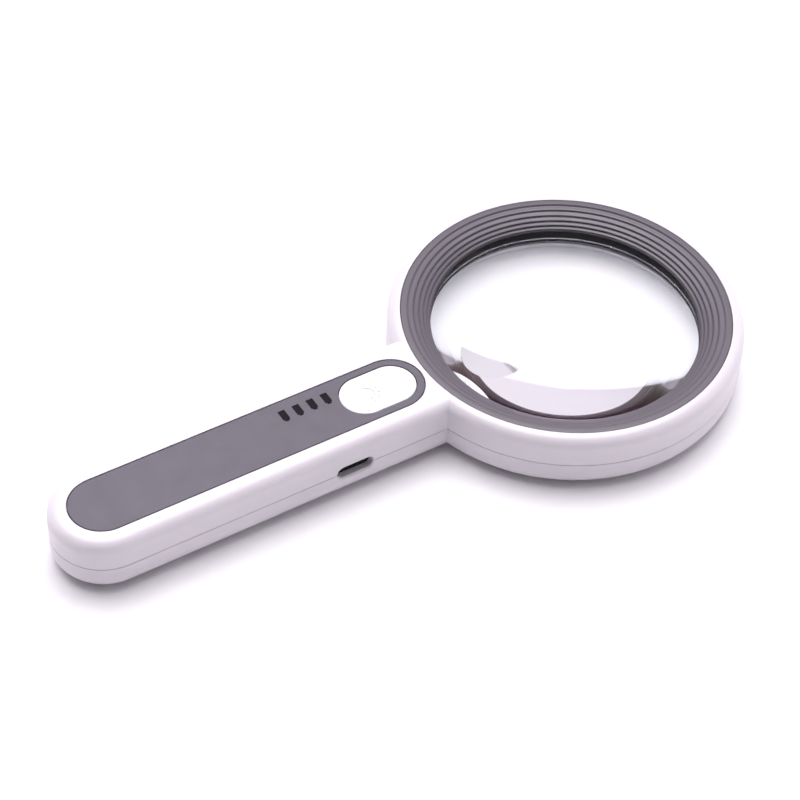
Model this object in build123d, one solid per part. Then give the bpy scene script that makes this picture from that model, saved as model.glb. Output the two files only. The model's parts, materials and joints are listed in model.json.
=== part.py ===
from build123d import *

# Hand-held low vision magnifier with a ring light.
# Millimetres. +X runs from the handle's round end to the lens, +Z is up, towards the
# user's eye, and the charging socket is in the -Y side of the handle. The origin is
# the centre of the box around the whole object, on the flat underside.

import math
import os

os.makedirs("parts", exist_ok=True)

# ---------------------------------------------------------------- driving dimensions

# Casing
HEIGHT = 18.2
HEAD_RADIUS = 49.6
HANDLE_HALF_WIDTH = 14.5
HANDLE_REACH = 142.5            # lens axis to the centre of the handle's round end
WALL = 1.8
FLOOR = 2.0
TOP_ROUND = 3.2
BOTTOM_ROUND = 5.7
PARTING_Z = HEIGHT / 2
SEAM_HEIGHT = 0.2               # shadow line between the two shells
SEAM_DEPTH = 0.35
LIP_HEIGHT = 0.95               # tongue of the lower shell inside the upper one
LIP_INSET = 1.05
LIP_GAP = 0.1
MOUTH_GAP = 0.1

HEAD_X = (HANDLE_REACH + HANDLE_HALF_WIDTH - HEAD_RADIUS) / 2

# Lens: two equal spherical faces, a flat rim, and a small stronger lens on top
LENS_CLEAR_RADIUS = 37.4
LENS_RADIUS = 38.0
LENS_CURVE = 118.0
LENS_EDGE = 3.6
LENS_MID_Z = HEIGHT - 9.15
BUMP_OFFSET = -23.05            # from the lens axis, towards the handle
BUMP_RADIUS = 9.75
BUMP_CURVE = 24.0

# Lens seat
GASKET_THICKNESS = 0.6
GASKET_OUTER = 38.45
GASKET_SIDE_GAP = 0.03
RETAINER_INNER = 37.9
SEAT_BORE = 38.5
BARREL_RADIUS = 39.7

# Bezel
BEZEL_RADIUS = 46.0
BEZEL_RIM_THICKNESS = 2.0
BEZEL_LIP_RADIUS = 37.5
BEZEL_LIP_Z = HEIGHT - 4.6
RIB_COUNT = 5
RIB_START_RADIUS = 43.8
RIB_DROP = 0.42                 # first groove, below the rim
RIB_ARC_RADIUS = 13.2           # the grooves lie on this arc
RIB_START_SLOPE = 16.5          # degrees, the arc's slope at the first groove
RIB_FIRST_STEP = 1.8
RIB_STEP_LOSS = 0.165           # each rib is narrower than the last
RIB_NOSE_PLACE = 0.74           # share of the step at which the nose stands
RIB_NOSE_HEIGHT = 0.27
NOSE_ROUND = 0.10
GROOVE_ROUND = 0.30
RIM_STEP_WIDTH = 0.45           # from the rim's inner edge to the first groove
SHELF_EDGE_RADIUS = 43.4        # the shelf under the bezel slopes down inside this
UPPER_BARREL_INNER = 40.3
UPPER_BARREL_OUTER = 41.7

# Handle panel
PANEL_HALF_WIDTH = 9.07
PANEL_THICKNESS = 1.6
PANEL_END_OFFSET = -56.7        # its round end near the lens, from the lens axis
PANEL_GAP = 0.28
PANEL_EDGE_ROUND = 0.2
DECK_LOW_Z = 15.0
PEG_RADIUS = 1.2
PEG_LENGTH = 1.4
PEG_PLACES = [(-136.0, 5.0), (-136.0, -5.0), (-100.0, 6.0), (-100.0, -6.0)]

# Power button
BUTTON_HALF_WIDTH = 6.86
BUTTON_LENGTH = 22.0
BUTTON_GAP = 0.2
BUTTON_FLANGE = 0.6
FLANGE_THICKNESS = 1.1
FLANGE_REST_GAP = 0.1
BUTTON_EDGE_ROUND = 0.35
STEM_RADIUS = 1.5
STEM_GAP = 0.05                 # above the switch plunger
BUTTON_WALL = 1.3
BUTTON_TOP_THICKNESS = 1.2
FLANGE_CLEARANCE = 0.2
ICON_DEPTH = 0.12
ICON_OFFSET = (-3.5, 0.0)       # from the button's centre
ICON_ARC_RADII = (1.95, 2.2)
ICON_RAY_COUNT = 6
ICON_RAY_SIZE = (0.9, 0.25)
ICON_RAY_RADIUS = 3.3

# Battery level windows
WINDOW_COUNT = 4
WINDOW_PITCH = 4.26
FIRST_WINDOW_OFFSET = -74.5
WINDOW_WIDTH = 2.05
WINDOW_LOW_Y = 2.35
WINDOW_HIGH_Y = 5.93
WINDOW_TIP_Y = 1.8
WINDOW_TIP_WIDTH = 1.25
WINDOW_CHAMFER = 0.12
WINDOW_RECESS = 0.12
WINDOW_GAP = 0.05
GUIDE_GAP = 0.15
GUIDE_PLATE_THICKNESS = 1.0
GUIDE_MARGINS = (1.6, 1.15)     # plate beyond the last and the first window's centre
GUIDE_YS = (1.2, 6.6)
GUIDE_LEG_HALF_LENGTH = 0.8
GUIDE_LEG_YS = (2.7, 5.1)
GUIDE_LEG_LIFT = 0.9            # above the board, over each indicator LED

# Charging socket
SOCKET_OFFSET = -76.0
SLOT_WIDTH = 10.9
SLOT_HEIGHT = 3.8
SLOT_BEVEL = 0.45
SLOT_DEPTH = 2.2                # wall and inner collar together
SLOT_COLLAR = 1.2
SOCKET_WIDTH = 8.94
SOCKET_HEIGHT = 3.2
SOCKET_DEPTH = 7.3
SOCKET_WALL = 0.3
SOCKET_BACK = 0.8
SOCKET_FRONT_GAP = 0.15         # from the collar to the socket's mouth
TONGUE_WIDTH = 6.7
TONGUE_THICKNESS = 0.7

# Main board and what is on it
BOARD_LOW_Z = 6.3
BOARD_TOP_Z = 7.5
BOARD_HALF_WIDTH = 12.2
BOARD_OFFSETS = (-90.4, -54.0)
BOARD_POST_OFFSETS = [(-87.0, 9.4), (-87.0, -9.4), (-57.4, 9.4), (-57.4, -9.4)]
BOARD_POST_RADIUS = 2.0
BOARD_CORNER = 1.0
INDICATOR_LED_Y = 3.9
INDICATOR_LED_SIZE = (1.6, 1.0, 0.6)
CHIP_SIZE = (4.9, 3.9, 1.5)
CHIP_CHAMFER = 0.2
CHIP_PLACES = [(-75.95, -1.55), (-67.95, 6.55)]
PASSIVE_COUNT = 5
PASSIVE_PITCH = 2.4
PASSIVE_SIZE = (1.2, 2.0, 0.8)
FIRST_PASSIVE_PLACE = (-70.4, -8.0)
SWITCH_SIZE = 6.0
SWITCH_CORNER = 0.5
SWITCH_TOP_Z = 11.0
PLUNGER_RADIUS = 1.7
PLUNGER_CLEARANCE = 0.06
PLUNGER_TOP_Z = 12.0
PLUNGER_LOW_Z = 8.9
CHAMBER_RADIUS = 2.5
CHAMBER_LOW_Z = 8.2
CHAMBER_TOP_Z = 9.5
DOME_RADIUS = 2.2
DOME_RISE = 0.55
DOME_THICKNESS = 0.08

# Battery
BATTERY_OFFSETS = (-143.6, -98.0)
BATTERY_HALF_WIDTH = 10.0
BATTERY_LOW_Z = 3.6
BATTERY_TOP_Z = 12.6
CELL_ROUND = 1.6
BATTERY_BOARD_THICKNESS = 1.0
BATTERY_BOARD_YS = (-8.0, 8.0)
BATTERY_BOARD_ZS = (5.6, 11.0)
PAD_MARGIN = 2.0
BATTERY_LEAD_Y = 1.3

# Ring light
DIFFUSER_INNER = 40.0
DIFFUSER_OUTER = 43.3
DIFFUSER_THICKNESS = 0.9
DIFFUSER_GAP = 0.1
LED_COUNT = 12
LED_CIRCLE = 41.6
LED_HOLE_RADIUS = 1.5
LED_SIZE = (1.4, 3.0, 0.8)
LED_BOARD_LOW_Z = 3.4
LED_BOARD_THICKNESS = 1.0
LED_BOARD_OUTER = 43.8
LED_LEDGE_RADIUS = 40.6
LED_CHAMFER = 0.15
LED_LEAD_Y = 2.0

# Fasteners
HANDLE_SCREWS = [(-147.5, 0.0), (-94.0, 6.2), (-94.0, -6.2)]
HANDLE_BOSS_RADIUS = 2.6
HANDLE_BOSS_FOOT = 3.3
SCREW_HEAD_RADIUS = 2.0
SCREW_HEAD_HEIGHT = 1.2
SCREW_RADIUS = 1.0
SCREW_SEAT_Z = 4.0
SCREW_TIP_Z = 13.0
HEAD_SCREW_CIRCLE = 44.0
HEAD_SCREW_ANGLES = [0.0, 120.0, 240.0]
HEAD_SCREW_HEAD_RADIUS = 1.7
HEAD_SCREW_SEAT_Z = 14.1
HEAD_SCREW_TIP_Z = 5.0
HEAD_BOSS_RADIUS = 2.4
HEAD_SCREW_HEAD_HEIGHT = 1.1
BOARD_SCREW_HEAD_RADIUS = 1.5
BOARD_SCREW_HEAD_HEIGHT = 1.0
BOARD_SCREW_RADIUS = 0.8
BOARD_SCREW_TIP_Z = 3.2
COUNTERBORE_GAP = 0.3
SHANK_GAP = 0.2
CROSS_SIZE = (2.2, 0.5, 1.4)
HEAD_EDGE_ROUND = 0.4
PILOT_CLEARANCE = 0.05
WIRE_RADIUS = 0.45
BEND_SHARE = 0.45               # of the shorter run, taken up by a lead's bend

TALL = 60.0                     # longer than anything it cuts


# ---------------------------------------------------------------- helpers

def disc(radius, low, high):
    """A cylinder about the lens axis."""
    return Pos(HEAD_X, 0, low) * Cylinder(radius, high - low, align=(Align.CENTER, Align.CENTER, Align.MIN))


def ring(inner, outer, low, high):
    """A plain ring about the lens axis."""
    return disc(outer, low, high) - disc(inner, low - 1, high + 1)


def post(offset, y, radius, low, high):
    """A cylinder along Z; offset is X measured from the lens axis."""
    solid = Cylinder(radius, high - low, align=(Align.CENTER, Align.CENTER, Align.MIN))
    return Pos(HEAD_X + offset, y, low) * solid


def block(offsets, ys, zs):
    """A box between two corners; offsets are X measured from the lens axis."""
    size = (offsets[1] - offsets[0], ys[1] - ys[0], zs[1] - zs[0])
    corner = (HEAD_X + offsets[0], ys[0], zs[0])
    return Pos(*corner) * Box(*size, align=(Align.MIN, Align.MIN, Align.MIN))


def widened(limits, gap):
    """Two limits moved apart by a gap on each side."""
    return limits[0] - gap, limits[1] + gap


def capsule(offset_a, offset_b, half_width, low, high):
    """A prism with round ends along X; offsets are its arc centres from the lens axis."""
    outline = SlotCenterToCenter(offset_b - offset_a, 2 * half_width)
    return Pos(HEAD_X + (offset_a + offset_b) / 2, 0, low) * extrude(outline, high - low)


def turned(points):
    """A solid turned about the lens axis from a closed outline of (radius, z) points."""
    face = Plane.XZ * make_face(Polyline(*points, close=True))
    return Pos(HEAD_X, 0, 0) * revolve(face, Axis.Z)


def softened(solid, top_round, bottom_round):
    """Round the top and bottom outlines of a prism."""
    if top_round:
        solid = fillet(solid.edges().group_by(Axis.Z)[-1], top_round)
    if bottom_round:
        solid = fillet(solid.edges().group_by(Axis.Z)[0], bottom_round)
    return solid


def outline_form(inset, low, high, top_round=0, bottom_round=0):
    """The casing's plan form, a disc and a straight round-ended handle, moved inwards."""
    head = softened(disc(HEAD_RADIUS - inset, low, high), top_round, bottom_round)
    handle = capsule(-HANDLE_REACH, 0, HANDLE_HALF_WIDTH - inset, low, high)
    return head + softened(handle, top_round, bottom_round)


def polar(radius, degrees):
    """An (offset, y) place on a circle about the lens axis."""
    angle = math.radians(degrees)
    return radius * math.cos(angle), radius * math.sin(angle)


def wire(points, radius=WIRE_RADIUS):
    """A lead through (offset, y, z) points, with arcs as large as its runs allow."""
    path_points = [Vector(HEAD_X + offset, y, z) for offset, y, z in points]
    radii = []
    for before, corner, after in zip(path_points, path_points[1:], path_points[2:]):
        shorter = min((corner - before).length, (after - corner).length)
        turn = math.radians((corner - before).get_angle(after - corner))
        radii.append(BEND_SHARE * shorter / math.tan(turn / 2))
    path = FilletPolyline(*path_points, radius=radii)
    section = Plane(origin=path @ 0, z_dir=path % 0) * Circle(radius)
    return sweep(section, path=path)


def write(name, shape):
    """Write one node as a STEP file and print its volume."""
    export_step(shape, f"parts/{name}.step")
    print(f"{name:28s} solids {len(shape.solids()):2d}  volume {shape.volume:10.2f}")


# ---------------------------------------------------------------- casing shells

PANEL_LOW_Z = HEIGHT - PANEL_THICKNESS
BUTTON_OFFSETS = (PANEL_END_OFFSET - (BUTTON_LENGTH - 2 * BUTTON_HALF_WIDTH), PANEL_END_OFFSET)
BUTTON_CENTRE = sum(BUTTON_OFFSETS) / 2
LENS_LOW_Z = LENS_MID_Z - LENS_EDGE / 2
LENS_TOP_Z = LENS_MID_Z + LENS_EDGE / 2
SEAT_Z = LENS_LOW_Z - GASKET_THICKNESS
BEZEL_UNDER_Z = HEIGHT - BEZEL_RIM_THICKNESS
SOCKET_FRONT_Y = SLOT_DEPTH + SOCKET_FRONT_GAP - HANDLE_HALF_WIDTH
HEAD_SCREW_PLACES = [polar(HEAD_SCREW_CIRCLE, angle) for angle in HEAD_SCREW_ANGLES]
LED_ANGLES = [360 / LED_COUNT * (k + 0.5) for k in range(LED_COUNT)]
WINDOW_OFFSETS = [FIRST_WINDOW_OFFSET - WINDOW_PITCH * k for k in range(WINDOW_COUNT)]
GUIDE_OFFSETS = (WINDOW_OFFSETS[-1] - GUIDE_MARGINS[0], WINDOW_OFFSETS[0] + GUIDE_MARGINS[1])
OUTER = outline_form(0, 0, HEIGHT, TOP_ROUND, BOTTOM_ROUND)


def casing_void(head_top, handle_top):
    """The hollow inside both shells."""
    top_round = TOP_ROUND - WALL
    bottom_round = BOTTOM_ROUND - WALL
    head = softened(disc(HEAD_RADIUS - WALL, FLOOR, head_top), top_round, bottom_round)
    handle = capsule(-HANDLE_REACH, 0, HANDLE_HALF_WIDTH - WALL, FLOOR, handle_top)
    return head + softened(handle, top_round, bottom_round)


def charging_slot():
    """The cut for the plug, through the near wall, with a bevelled outer edge."""
    across = SLOT_WIDTH - SLOT_HEIGHT
    outer_y = -HANDLE_HALF_WIDTH
    place = Plane(origin=(HEAD_X + SOCKET_OFFSET, outer_y, PARTING_Z), x_dir=(1, 0, 0), z_dir=(0, 1, 0))
    through = extrude(place * SlotCenterToCenter(across, SLOT_HEIGHT), 2 * SLOT_DEPTH, both=True)
    mouth_outline = place * SlotCenterToCenter(across, SLOT_HEIGHT + 2 * SLOT_BEVEL)
    return through + extrude(mouth_outline, SLOT_BEVEL, taper=45)


def slot_collar(low, high):
    """The thicker wall round the charging slot, between two heights."""
    across = SLOT_WIDTH - SLOT_HEIGHT
    inner_y = -(HANDLE_HALF_WIDTH - WALL)
    place = Plane(origin=(HEAD_X + SOCKET_OFFSET, inner_y - 0.2, PARTING_Z), x_dir=(1, 0, 0), z_dir=(0, 1, 0))
    outline = SlotCenterToCenter(across, SLOT_HEIGHT + 2 * SLOT_COLLAR)
    collar = extrude(place * outline, SLOT_DEPTH - WALL + 0.2)
    return collar & block((-200, 100), (-60, 60), (low, high))


def make_lower_shell():
    shell = OUTER & block((-200, 100), (-60, 60), (-1, PARTING_Z))
    shell -= casing_void(DECK_LOW_Z, DECK_LOW_Z)
    shell += slot_collar(0, PARTING_Z - MOUTH_GAP)
    lip_top = PARTING_Z + LIP_HEIGHT
    shell += outline_form(LIP_INSET, PARTING_Z - 1, lip_top) - outline_form(WALL, PARTING_Z - 2, lip_top + 1)

    # Barrel round the lens, with the shoulder that its gasket lies on
    shell += disc(BARREL_RADIUS, 0, LENS_TOP_Z - 0.45)
    shell -= disc(LENS_CLEAR_RADIUS, -1, TALL)
    shell -= disc(SEAT_BORE, SEAT_Z, TALL)

    # Ring light: groove for the diffuser, windows above it, ledge for the board
    shell += ring(BARREL_RADIUS - 0.5, LED_LEDGE_RADIUS, FLOOR - 0.5, LED_BOARD_LOW_Z)
    groove_top = DIFFUSER_THICKNESS + DIFFUSER_GAP
    shell -= ring(DIFFUSER_INNER - DIFFUSER_GAP, DIFFUSER_OUTER + DIFFUSER_GAP, -1, groove_top)
    for angle in LED_ANGLES:
        shell -= post(*polar(LED_CIRCLE, angle), LED_HOLE_RADIUS, -1, LED_BOARD_LOW_Z + 1)

    # Screw bosses
    boss_top = PARTING_Z - MOUTH_GAP
    for place in HANDLE_SCREWS:
        shell += post(*place, HANDLE_BOSS_FOOT, FLOOR - 0.5, SCREW_SEAT_Z + 1.2)
        shell += post(*place, HANDLE_BOSS_RADIUS, FLOOR - 0.5, boss_top)
        shell -= post(*place, SCREW_HEAD_RADIUS + COUNTERBORE_GAP, -1, SCREW_SEAT_Z)
        shell -= post(*place, SCREW_RADIUS + SHANK_GAP, -1, TALL)
    for place in HEAD_SCREW_PLACES:
        shell += post(*place, HEAD_BOSS_RADIUS, FLOOR - 0.5, boss_top)
        shell -= post(*place, SCREW_RADIUS + PILOT_CLEARANCE, HEAD_SCREW_TIP_Z - 1, TALL)
    for place in BOARD_POST_OFFSETS:
        shell += post(*place, BOARD_POST_RADIUS, FLOOR - 0.5, BOARD_LOW_Z)
        shell -= post(*place, BOARD_SCREW_RADIUS + PILOT_CLEARANCE, FLOOR + 0.8, TALL)
    return shell - charging_slot()


def make_upper_shell():
    shell = OUTER & block((-200, 100), (-60, 60), (PARTING_Z, TALL))
    shell -= casing_void(DECK_LOW_Z, DECK_LOW_Z)
    shell -= outline_form(LIP_INSET - LIP_GAP, PARTING_Z - 1, PARTING_Z + LIP_HEIGHT + LIP_GAP)
    shell += slot_collar(PARTING_Z + LIP_HEIGHT + LIP_GAP, TALL)
    seam = outline_form(-1, PARTING_Z - 1, PARTING_Z + SEAM_HEIGHT)
    shell -= seam - outline_form(SEAM_DEPTH, PARTING_Z - 2, TALL)

    # Seat for the bezel: a shelf, its slope, and a barrel round the lens collar
    shell -= disc(BEZEL_RADIUS + 0.1, PARTING_Z - 1, TALL)
    shell += turned([
        (UPPER_BARREL_INNER, PARTING_Z + 0.2),
        (UPPER_BARREL_OUTER, PARTING_Z + 0.2),
        (UPPER_BARREL_OUTER, 13.0),
        (SHELF_EDGE_RADIUS, BEZEL_UNDER_Z - 1.6),
        (HEAD_RADIUS - WALL + 0.3, BEZEL_UNDER_Z - 1.6),
        (HEAD_RADIUS - WALL + 0.3, BEZEL_UNDER_Z),
        (SHELF_EDGE_RADIUS, BEZEL_UNDER_Z),
        (UPPER_BARREL_INNER, 14.4),
    ])

    # Recess for the panel, with the button's and the light guide's openings
    shell -= capsule(-HANDLE_REACH, PANEL_END_OFFSET, PANEL_HALF_WIDTH + PANEL_GAP, PANEL_LOW_Z, TALL)
    flange_half_width = BUTTON_HALF_WIDTH + BUTTON_FLANGE
    shell -= capsule(*BUTTON_OFFSETS, flange_half_width + FLANGE_CLEARANCE, PARTING_Z, TALL)
    shell -= block(widened(GUIDE_OFFSETS, GUIDE_GAP), widened(GUIDE_YS, GUIDE_GAP), (PARTING_Z, TALL))
    for offset, y in PEG_PLACES:
        shell -= post(offset, y, PEG_RADIUS + PILOT_CLEARANCE, PARTING_Z, TALL)

    # Screw bosses
    for place in HANDLE_SCREWS:
        shell += post(*place, HANDLE_BOSS_RADIUS, PARTING_Z, DECK_LOW_Z + 0.5)
        shell -= post(*place, SCREW_RADIUS + PILOT_CLEARANCE, PARTING_Z - 1, SCREW_TIP_Z + 1)
    for place in HEAD_SCREW_PLACES:
        boss = post(*place, HEAD_BOSS_RADIUS, PARTING_Z, BEZEL_UNDER_Z - 1)
        shell += boss - disc(UPPER_BARREL_INNER, 0, TALL)
        shell -= post(*place, HEAD_SCREW_HEAD_RADIUS + SHANK_GAP, HEAD_SCREW_SEAT_Z, TALL)
        shell -= post(*place, SCREW_RADIUS + SHANK_GAP, PARTING_Z - 1, TALL)
    return shell - charging_slot()


# ---------------------------------------------------------------- lens and its rings

def make_lens():
    sag = LENS_CURVE - math.sqrt(LENS_CURVE ** 2 - LENS_CLEAR_RADIUS ** 2)
    upper_centre_z = LENS_TOP_Z + sag - LENS_CURVE
    lower_centre_z = LENS_LOW_Z - sag + LENS_CURVE
    body = Pos(HEAD_X, 0, upper_centre_z) * Sphere(LENS_CURVE)
    body &= Pos(HEAD_X, 0, lower_centre_z) * Sphere(LENS_CURVE)
    body &= disc(LENS_CLEAR_RADIUS, -TALL, TALL)
    body += ring(LENS_CLEAR_RADIUS - 0.5, LENS_RADIUS, LENS_LOW_Z, LENS_TOP_Z)

    # The small lens: a tighter sphere that meets the main face in a circle
    height = math.sqrt(LENS_CURVE ** 2 - BUMP_OFFSET ** 2)
    normal = Vector(BUMP_OFFSET, 0, height).normalized()
    reach = math.sqrt(LENS_CURVE ** 2 - BUMP_RADIUS ** 2) - math.sqrt(BUMP_CURVE ** 2 - BUMP_RADIUS ** 2)
    bump_centre = Vector(HEAD_X, 0, upper_centre_z) + normal * reach
    tube = Cylinder(BUMP_RADIUS + 1, 8, align=(Align.CENTER, Align.CENTER, Align.MIN))
    near_side = Plane(origin=bump_centre + normal * (BUMP_CURVE - 6), z_dir=normal) * tube
    bump = (Pos(*bump_centre) * Sphere(BUMP_CURVE)) & near_side
    return body + bump


def rib_points():
    """Grooves and noses of the bezel's ribs, from its rim inwards, as (radius, z, round)."""
    slope = math.radians(RIB_START_SLOPE)
    centre_r = RIB_START_RADIUS + RIB_ARC_RADIUS * math.sin(slope)
    centre_z = HEIGHT - RIB_DROP - RIB_ARC_RADIUS * math.cos(slope)
    step = RIB_FIRST_STEP
    points = [(RIB_START_RADIUS, HEIGHT - RIB_DROP, GROOVE_ROUND)]
    for _ in range(RIB_COUNT):
        nose_slope = slope + RIB_NOSE_PLACE * step / RIB_ARC_RADIUS
        nose_arc = RIB_ARC_RADIUS + RIB_NOSE_HEIGHT
        nose = (centre_r - nose_arc * math.sin(nose_slope), centre_z + nose_arc * math.cos(nose_slope))
        slope += step / RIB_ARC_RADIUS
        groove = (centre_r - RIB_ARC_RADIUS * math.sin(slope), centre_z + RIB_ARC_RADIUS * math.cos(slope))
        points.append((*nose, NOSE_ROUND))
        points.append((*groove, GROOVE_ROUND))
        step -= RIB_STEP_LOSS
    return points


def make_bezel():
    ribs = rib_points()
    under_edge = BEZEL_RADIUS - 0.3
    corners = [
        (under_edge, BEZEL_UNDER_Z, None),
        (BEZEL_RADIUS, BEZEL_UNDER_Z + 0.3, 0.2),
        (BEZEL_RADIUS, HEIGHT, 0.3),
        (RIB_START_RADIUS + RIM_STEP_WIDTH, HEIGHT, 0.12),
        *ribs[:-1],
        (BEZEL_LIP_RADIUS, ribs[-1][1], 0.15),
        (BEZEL_LIP_RADIUS, BEZEL_LIP_Z, None),
    ]
    spots = [(r, z) for r, z, _ in corners]
    rounds = [size for _, _, size in corners[1:-1]]
    top_line = FilletPolyline(*spots, radius=rounds)
    under_line = Polyline(
        spots[-1], (BEZEL_LIP_RADIUS + 1.1, BEZEL_LIP_Z), (SHELF_EDGE_RADIUS, BEZEL_UNDER_Z), spots[0]
    )
    section = Plane.XZ * make_face(Curve() + [top_line, under_line])
    return Pos(HEAD_X, 0, 0) * revolve(section, Axis.Z)


def make_retainer():
    """The dark ring that presses the lens down; the bezel's lip holds it."""
    return ring(RETAINER_INNER, UPPER_BARREL_INNER - 0.3, LENS_TOP_Z, BEZEL_LIP_Z)


def make_gasket():
    """A rubber seat with an L-shaped section, under the lens and round its edge."""
    seat = ring(LENS_CLEAR_RADIUS, GASKET_OUTER, SEAT_Z, LENS_LOW_Z)
    return seat + ring(LENS_RADIUS + GASKET_SIDE_GAP, GASKET_OUTER, SEAT_Z, LENS_TOP_Z)


# ---------------------------------------------------------------- handle panel and button

def window_outline(offset, gap):
    """A small battery outline, terminal towards -Y; gap shrinks it on every side."""
    half = WINDOW_WIDTH / 2 - gap
    tip = WINDOW_TIP_WIDTH / 2 - gap
    cut = WINDOW_CHAMFER
    low, high, end = WINDOW_LOW_Y + gap, WINDOW_HIGH_Y - gap, WINDOW_TIP_Y + gap
    points = [
        (-half, high), (half, high), (half, low + cut), (half - cut, low), (tip, low),
        (tip, end), (-tip, end), (-tip, low), (cut - half, low), (-half, low + cut),
    ]
    return Pos(HEAD_X + offset, 0, 0) * make_face(Polyline(*points, close=True))


def make_panel():
    panel = capsule(-HANDLE_REACH, PANEL_END_OFFSET, PANEL_HALF_WIDTH, PANEL_LOW_Z, HEIGHT)
    panel = fillet(panel.edges().group_by(Axis.Z)[-1], PANEL_EDGE_ROUND)
    opening = capsule(*BUTTON_OFFSETS, BUTTON_HALF_WIDTH + BUTTON_GAP, PANEL_LOW_Z - 1, HEIGHT + 1)
    panel -= opening
    for offset in WINDOW_OFFSETS:
        panel -= Pos(0, 0, PANEL_LOW_Z - 1) * extrude(window_outline(offset, 0), PANEL_THICKNESS + 2)
    for offset, y in PEG_PLACES:
        panel += post(offset, y, PEG_RADIUS, PANEL_LOW_Z - PEG_LENGTH, PANEL_LOW_Z + 0.2)
    return panel


def button_icon():
    """A plain half sun, cut shallow into the button: an arc and six short rays towards the head."""
    low = HEIGHT - ICON_DEPTH
    centre = (BUTTON_CENTRE + ICON_OFFSET[0], ICON_OFFSET[1])
    inner, outer = ICON_ARC_RADII
    arc = post(*centre, outer, low, HEIGHT + 1) - post(*centre, inner, low - 1, HEIGHT + 2)
    icon = arc & block((centre[0], centre[0] + 3), widened((centre[1], centre[1]), 3), (low, HEIGHT + 1))
    upright = (Align.CENTER, Align.CENTER, Align.MIN)
    ray = Pos(ICON_RAY_RADIUS, 0, low) * Box(*ICON_RAY_SIZE, 2, align=upright)
    place = Pos(HEAD_X + centre[0], centre[1], 0)
    for k in range(ICON_RAY_COUNT):
        icon += place * Rot(0, 0, 180 / ICON_RAY_COUNT * (k + 0.5) - 90) * ray
    return icon


def make_button():
    cap_low = PANEL_LOW_Z - FLANGE_REST_GAP - FLANGE_THICKNESS
    flange_top = PANEL_LOW_Z - FLANGE_REST_GAP
    cap = capsule(*BUTTON_OFFSETS, BUTTON_HALF_WIDTH, cap_low, HEIGHT)
    cap = fillet(cap.edges().group_by(Axis.Z)[-1], BUTTON_EDGE_ROUND)
    cap += capsule(*BUTTON_OFFSETS, BUTTON_HALF_WIDTH + BUTTON_FLANGE, cap_low, flange_top)
    cap_ceiling = HEIGHT - BUTTON_TOP_THICKNESS
    cap -= capsule(*BUTTON_OFFSETS, BUTTON_HALF_WIDTH - BUTTON_WALL, cap_low - 1, cap_ceiling)
    cap += post(BUTTON_CENTRE, 0, STEM_RADIUS, PLUNGER_TOP_Z + STEM_GAP, HEIGHT - 1)
    return cap - button_icon()


def make_light_guide():
    plate_low = PANEL_LOW_Z - GUIDE_PLATE_THICKNESS
    inside_plate = plate_low + GUIDE_PLATE_THICKNESS / 2
    guide = block(GUIDE_OFFSETS, GUIDE_YS, (plate_low, PANEL_LOW_Z))
    for offset in WINDOW_OFFSETS:
        window = extrude(window_outline(offset, WINDOW_GAP), HEIGHT - WINDOW_RECESS - inside_plate)
        guide += Pos(0, 0, inside_plate) * window
        leg_offsets = widened((offset, offset), GUIDE_LEG_HALF_LENGTH)
        guide += block(leg_offsets, GUIDE_LEG_YS, (BOARD_TOP_Z + GUIDE_LEG_LIFT, inside_plate))
    return guide


# ---------------------------------------------------------------- electronics in the handle

def make_main_board():
    board = block(BOARD_OFFSETS, (-BOARD_HALF_WIDTH, BOARD_HALF_WIDTH), (BOARD_LOW_Z, BOARD_TOP_Z))
    board = fillet(board.edges().filter_by(Axis.Z), BOARD_CORNER)
    for place in BOARD_POST_OFFSETS:
        board -= post(*place, BOARD_SCREW_RADIUS + SHANK_GAP, BOARD_LOW_Z - 1, BOARD_TOP_Z + 1)
    return board


def make_switch_body():
    half = SWITCH_SIZE / 2
    centre = BUTTON_CENTRE
    body = block((centre - half, centre + half), (-half, half), (BOARD_TOP_Z, SWITCH_TOP_Z))
    body = chamfer(body.edges().filter_by(Axis.Z), SWITCH_CORNER)
    body -= post(centre, 0, CHAMBER_RADIUS, CHAMBER_LOW_Z, CHAMBER_TOP_Z)
    return body - post(centre, 0, PLUNGER_RADIUS + PLUNGER_CLEARANCE, CHAMBER_LOW_Z, TALL)


def make_switch_plunger():
    plunger = post(BUTTON_CENTRE, 0, PLUNGER_RADIUS, PLUNGER_LOW_Z, PLUNGER_TOP_Z)
    return chamfer(plunger.edges().group_by(Axis.Z)[-1], 0.2)


def make_switch_dome():
    """The snap disc under the plunger, a shallow spherical cap."""
    curve = (DOME_RADIUS ** 2 + DOME_RISE ** 2) / (2 * DOME_RISE)
    base = CHAMBER_LOW_Z
    centre = Pos(HEAD_X + BUTTON_CENTRE, 0, base + DOME_RISE - curve)
    shell = (centre * Sphere(curve)) - (centre * Sphere(curve - DOME_THICKNESS))
    return shell & post(BUTTON_CENTRE, 0, DOME_RADIUS - 0.1, base, base + 2)


def socket_form(width, height, y_low, y_high):
    """A flattened tube form along Y, centred on the charging socket's axis."""
    place = Plane(origin=(HEAD_X + SOCKET_OFFSET, y_low, PARTING_Z), x_dir=(1, 0, 0), z_dir=(0, 1, 0))
    return extrude(place * SlotCenterToCenter(width - height, height), y_high - y_low)


def make_socket_shell():
    front = SOCKET_FRONT_Y
    back = front + SOCKET_DEPTH
    thin = 2 * SOCKET_WALL
    shell = socket_form(SOCKET_WIDTH, SOCKET_HEIGHT, front, back)
    return shell - socket_form(SOCKET_WIDTH - thin, SOCKET_HEIGHT - thin, front - 1, back - SOCKET_BACK)


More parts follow.
